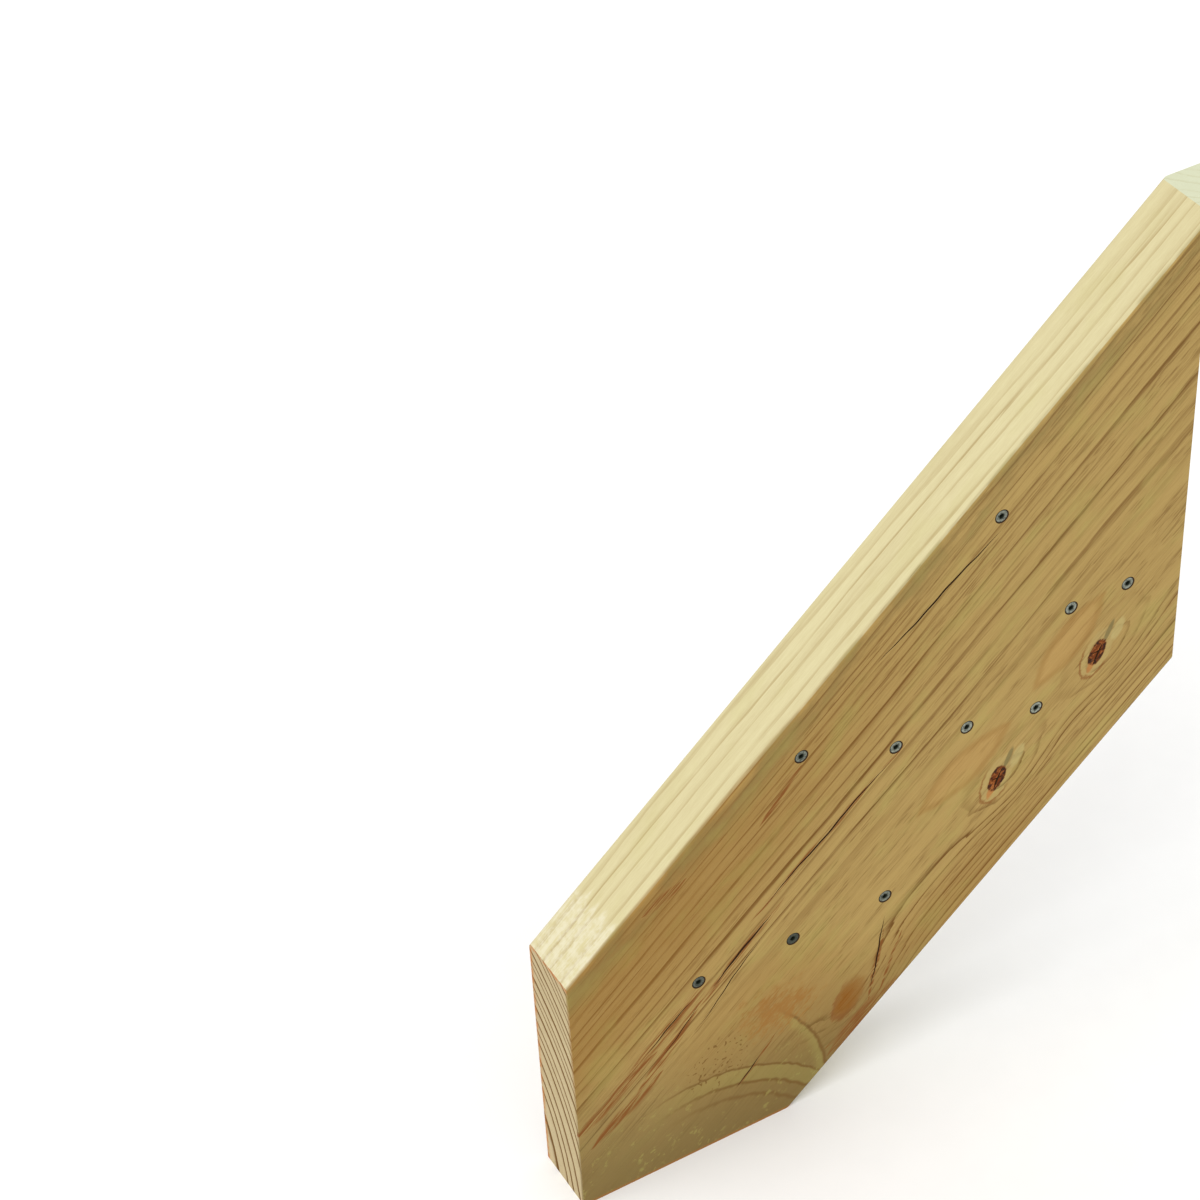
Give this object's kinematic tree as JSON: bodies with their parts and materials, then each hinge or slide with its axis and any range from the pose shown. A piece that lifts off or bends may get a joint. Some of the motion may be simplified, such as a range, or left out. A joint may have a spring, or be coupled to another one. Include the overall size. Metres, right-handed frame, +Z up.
{
  "type": "stair stringer",
  "caption": "Right-hand timber stair stringer: a sloping plank with plumb and level cuts, housings for tread ends, a hooked head for the deck and countersunk tread screws.",
  "frame": {"origin": "centre of the level foot, halfway through the plank's thickness", "axes": "+X up the steps towards the deck, +Y from the outer face to the inner face with the housings, +Z up"},
  "size_m": [0.4711, 0.045, 0.555],
  "materials": {
    "treated_pine": "planed softwood, faintly green from preservative, with knots, drying checks and sawn ends",
    "coated_screw": "dull green-grey corrosion coating on steel"
  },
  "bodies": {
    "root": {"stringer": "treated_pine", "tread_screws": "coated_screw"}
  },
  "joints": []
}
